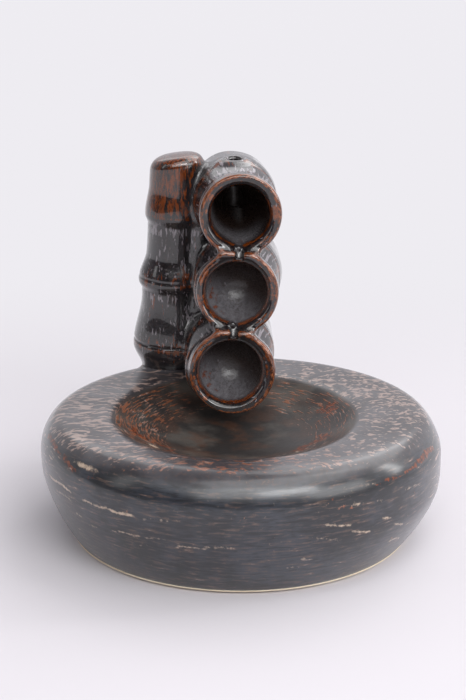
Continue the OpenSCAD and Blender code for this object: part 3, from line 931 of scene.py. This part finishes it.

# %% [markdown]
# ## The glaze on the tower
# It is thick and glossy. Iron breaks rust brown on every crest and lip, hollows are nearly black,
# and pale crystals lie in dashes along the flow. The colour is built in that order, from the dark
# ground up, as the kiln does it. The wet look is a clear coat of high refraction, which thins out
# in the cups, where the glaze came out matt. The cups also carry painted shade and light: their
# upper and deep part is painted dark brown as shade, and their lower left part pale grey as lit.


# %% Tower glaze
def tower_glaze(name):
    glaze = Finish(name)
    flow = glaze.measure("flow", vector=True)
    edge, rust, pale, cup, low = (glaze.measure(m) for m in ("edge", "rust", "pale", "cup", "low"))
    cloud = glaze.noise(flow, 0.17, 3)
    streak = glaze.noise(flow, 0.8, 4, 0.62, 0.4)
    fine = glaze.noise(flow, 2.7, 3, 0.6)
    crest = glaze.step(edge, 0.25, 1.1)
    hollow = glaze.step(edge * -1.0, 0.05, 0.5)
    thin = rust + crest * 0.36 - hollow * 0.3 + (cloud - 0.5) * 1.1 + (streak - 0.5) * 1.5
    rusty = glaze.step(thin, 0.40, 0.56)
    slate = glaze.blend(glaze.step(cloud + streak * 0.6, 0.6, 1.0), srgb(18, 15, 17), srgb(40, 36, 42))
    slate = glaze.blend(glaze.step(fine, 0.48, 0.70) * 0.6, slate, srgb(60, 38, 27))
    slate = glaze.blend(hollow * 0.6, slate, srgb(24, 21, 23))
    iron = glaze.blend(glaze.step(streak + fine * 0.6, 0.62, 0.98), srgb(34, 15, 7), srgb(112, 52, 14))
    iron = glaze.blend(crest * glaze.step(fine + streak * 0.5, 0.66, 0.92) * 0.7, iron, srgb(160, 92, 50))
    colour = glaze.blend(rusty, slate, iron)
    dash = glaze.noise(flow, 1.0, 2, 0.5, 0.5)
    flecks = glaze.step(dash + pale * 0.21, 0.69, 0.75)
    colour = glaze.blend(flecks * 0.8, colour, srgb(146, 138, 145))
    # Painted shade: the upper and deep part of each cup is darkened to brown-black.
    colour = glaze.blend(cup * (1 - low) * (0.85 - rusty * 0.5), colour, srgb(44, 32, 27))
    # Painted light: the lower left part of each cup is lightened to grey, as if lit and softly reflecting.
    grit_in_painted_light = glaze.step(fine + streak * 0.5, 0.62, 0.95)
    colour = glaze.blend(low * cup * (1 - rusty) * (0.85 - 0.65 * grit_in_painted_light), colour, srgb(112, 110, 114))
    relief = streak * 0.6 + flecks * 0.35 + fine * 0.35 + cloud * cup * 2.5
    glaze.feed(Base_Color=colour, Roughness=0.11 + 0.12 * glaze.step(fine, 0.3, 0.8) + 0.14 * cup,
               Coat_Weight=0.85 - 0.8 * cup, Coat_Roughness=0.04, Coat_IOR=1.6, IOR=1.5,
               Normal=glaze.bump(relief, 0.5, 0.3))
    return glaze.material


gloss = tower_glaze("tower_glaze")
for piece in tower.values():
    piece.data.materials.append(gloss)
print("tower glaze:", len(gloss.node_tree.nodes), "nodes on", len(tower), "pieces")

# %% [markdown]
# ## The glaze on the base
# The same glaze lies thinner on the base and comes out satin: grey with raised pale flecks on the
# top, darker on the side, with thin lines round the pot and a few long pale runs, and matt brown
# in the pool. Three materials would meet in hard borders, so one material mixes the three grounds
# and lays the flecks, the rust and the runs over them.


# %% Base glaze
def base_glaze(name):
    glaze = Finish(name)
    top, round_side, round_pool = (glaze.measure(m, vector=True)
                                   for m in ("flow", "side_flow", "pool_flow"))
    rust, pale, warm, pool, wall, side, run = (
        glaze.measure(m) for m in ("rust", "pale", "warm", "pool", "wall", "side", "run"))
    place = glaze.node("ShaderNodeTexCoord", output=3)
    cloud = glaze.noise(place, 55, 4, 0.6)
    blotch = glaze.noise(place, 130, 3, 0.55)
    dash = glaze.noise(top, 1.25, 2.5, 0.5, 0.6)
    line = glaze.noise(round_side, 1.0, 3, 0.55, 0.4)
    ripple = glaze.noise(round_pool, 1.0, 1.5, 0.45, 0.2)
    speck = glaze.noise(place, 900, 3, 0.6)
    on_top = glaze.blend(glaze.step(cloud, 0.38, 0.62), srgb(52, 49, 53), srgb(78, 76, 80))
    on_top = glaze.blend(glaze.step(speck, 0.50, 0.7) * 0.35, on_top, srgb(96, 70, 58))
    on_side = glaze.blend(glaze.step(cloud + line * 0.4, 0.55, 0.88), srgb(26, 27, 32), srgb(53, 57, 66))
    on_side = glaze.blend(glaze.step(line + speck * 0.2, 0.62, 0.78) * 0.45, on_side, srgb(108, 82, 66))
    on_side = glaze.blend(glaze.step(line, 0.46, 0.34) * 0.6, on_side, srgb(22, 23, 28))
    in_pool = glaze.blend(glaze.step(cloud, 0.42, 0.62), srgb(42, 39, 38), srgb(78, 74, 70))
    in_pool = glaze.blend(glaze.step(blotch + ripple * 0.3 * wall, 0.50, 0.70) * (0.5 - 0.3 * wall), in_pool,
                          srgb(88, 58, 42))
    colour = glaze.blend(side, glaze.blend(pool, on_top, in_pool), on_side)
    iron = glaze.blend(glaze.step(speck, 0.38, 0.66), srgb(42, 20, 12), srgb(122, 54, 14))
    pattern = dash * (1 - pool) * (1 - side) + (ripple * wall + 0.3 * (1 - wall)) * pool + line * side
    thin = rust + (blotch - 0.5) * 1.6 + (speck - 0.5) * 0.9
    rusty = glaze.step(thin, 0.40, 0.50)
    colour = glaze.blend(rusty, colour, iron)
    flecks = glaze.step(pattern + pale * 0.09 + (speck - 0.5) * (0.16 - 0.1 * pool), 0.58, 0.70)
    cream = glaze.blend(warm * glaze.step(blotch + speck, 0.65, 1.0), srgb(190, 162, 150), srgb(150, 84, 48))
    colour = glaze.blend(flecks * (0.66 - 0.15 * blotch), colour, cream)
    runs = glaze.step(run + (speck - 0.5) * 1.4 + (blotch - 0.5) * 0.6, 0.22, 0.90)
    colour = glaze.blend(runs * 0.85, colour, srgb(206, 182, 160))
    relief = flecks * 0.35 + runs * 0.3 + speck * 0.12 + cloud * 0.5
    glaze.feed(Base_Color=colour, Roughness=0.26 + 0.14 * speck + 0.1 * pool,
               Coat_Weight=0.8 - 0.55 * pool, Coat_Roughness=0.18, IOR=1.5,
               Normal=glaze.bump(relief, 0.55, 0.3))
    return glaze.material


base.data.materials.append(base_glaze("base_glaze"))
print("base glaze:", len(base.active_material.node_tree.nodes), "nodes")

# %% [markdown]
# ## Bare clay
# The foot ring was wiped clean, because glaze would stick the pot to the kiln shelf, and the floor
# inside was never glazed. Both are matt clay with grains in it, pale and washed on the ring, and
# darker inside.


# %% Bare clay
def bare_clay(name, light, dark):
    clay = Finish(name)
    place = clay.measure("flow", vector=True)
    cloud = clay.noise(place, 0.15, 4)
    grain = clay.noise(place, 4.0, 3, 0.7)
    colour = clay.blend(cloud, dark, light)
    colour = clay.blend(clay.step(grain, 0.6, 0.75) * 0.4, colour, srgb(120, 88, 62))
    clay.feed(Base_Color=colour, Roughness=0.75 + 0.2 * grain, Normal=clay.bump(grain, 0.5, 0.15))
    return clay.material


foot.data.materials.append(bare_clay("foot_clay", srgb(246, 236, 216), srgb(226, 208, 180)))
clay_floor.data.materials.append(bare_clay("floor_clay", srgb(172, 142, 112), srgb(128, 100, 76)))
print("bare clay on", foot.name, "and", clay_floor.name)

# %% [markdown]
# ## Table
# The burner stands on pale paper. Near the burner the lamps light it, so that it holds the shadow.
# Further out it glows instead, so that the lamps needn't be turned up until the backdrop is white.
# The eye and the gloss see the full glow, and about a third of it falls on the burner as light.

# %% Table
floor_mesh = bpy.data.meshes.new("sweep")
FAR = 6.0
floor_mesh.from_pydata([(-FAR, -FAR, 0), (FAR, -FAR, 0), (FAR, FAR, 0), (-FAR, FAR, 0)], [],
                       [(0, 1, 2, 3)])
sweep = bpy.data.objects.new("sweep", floor_mesh)
bpy.context.scene.collection.objects.link(sweep)
paper = Finish("paper")
away = paper.node("ShaderNodeVectorMath", {"operation": "LENGTH"},
                  {0: paper.node("ShaderNodeTexCoord", output=3)}, 1)
far = paper.step(away, 0.07, 0.33)
camera_ray, glossy_ray, through_ray = (paper.node("ShaderNodeLightPath", output=k) for k in (0, 3, 6))
seen = camera_ray + glossy_ray + through_ray
paper.feed(Base_Color=paper.blend(far, srgb(213, 209, 214), srgb(0, 0, 0)), Roughness=0.9,
           Specular_IOR_Level=0.1, Emission_Strength=1.0, Emission_Color=paper.blend(
               far, srgb(0, 0, 0), paper.blend(seen, srgb(146, 144, 148), srgb(236, 234, 239))))
floor_mesh.materials.append(paper.material)
print("paper reaches", FAR, "m to each side")

# %% [markdown]
# ## Light and air
# Dark gloss shows its lamps more than its colour, so most lamps are large and dim, like the soft
# boxes round a product. The rear and top boxes light the upper face, the front and spark boxes
# draw the broad light on the shoulder, the key and right boxes edge the right side, and the others
# fill. The air is dim in front and bright behind, which keeps the side dark.


# %% Lamps
def softbox(name, place, width, height, level):
    """A rectangular lamp of a given brightness, turned to the burner."""
    data = bpy.data.lights.new(name, "AREA")
    data.shape, data.size, data.size_y = "RECTANGLE", width, height
    data.energy = level * math.pi * width * height
    lamp = bpy.data.objects.new(name, data)
    bpy.context.scene.collection.objects.link(lamp)
    lamp.location = place
    aim = np.array((0, 0, 0.05)) - np.array(place)
    lamp.rotation_euler = (math.atan2(math.hypot(aim[0], aim[1]), -aim[2]), 0,
                           math.atan2(aim[1], aim[0]) - math.pi / 2)


for lamp_row in (
        ("rear_box", (0.50, 0.36, 0.86), 0.90, 0.80, 1.8),
        ("top_box", (0.24, -0.42, 0.92), 1.20, 0.60, 1.9),
        ("front_box", (0.12, -0.92, 0.70), 1.30, 0.50, 2.7),
        ("key_box", (0.90, -0.62, 0.44), 0.70, 0.34, 3.2),
        ("spark_box", (0.46, -0.86, 0.70), 0.60, 0.22, 6.5),
        ("right_box", (1.0, 0.12, 0.46), 0.12, 0.42, 9.0),
        ("left_box", (-0.95, -0.35, 0.55), 0.20, 0.60, 1.6),
        ("fill_box", (-0.62, -0.68, 0.80), 0.60, 0.45, 0.8),
        ("back_box", (0.0, 0.80, 0.75), 1.2, 0.50, 0.9)):
    softbox(*lamp_row)
print("lamps:", [lamp.name for lamp in bpy.data.lights])

# %% Air
world = bpy.data.worlds.new("air")
bpy.context.scene.world = world
air = Finish("air", world)
direction = air.node("ShaderNodeTexCoord")
right, back = (air.node("ShaderNodeSeparateXYZ", {}, {0: direction}, k) for k in (0, 1))
air.feed(Color=srgb(238, 236, 242),
         Strength=0.06 + 0.62 * air.step(back, -0.30, 0.7) + 0.40 * air.step(right, 0.30, 0.90))
bpy.context.scene.view_settings.view_transform = "Standard"
print("air:", len(air.tree.nodes), "nodes")
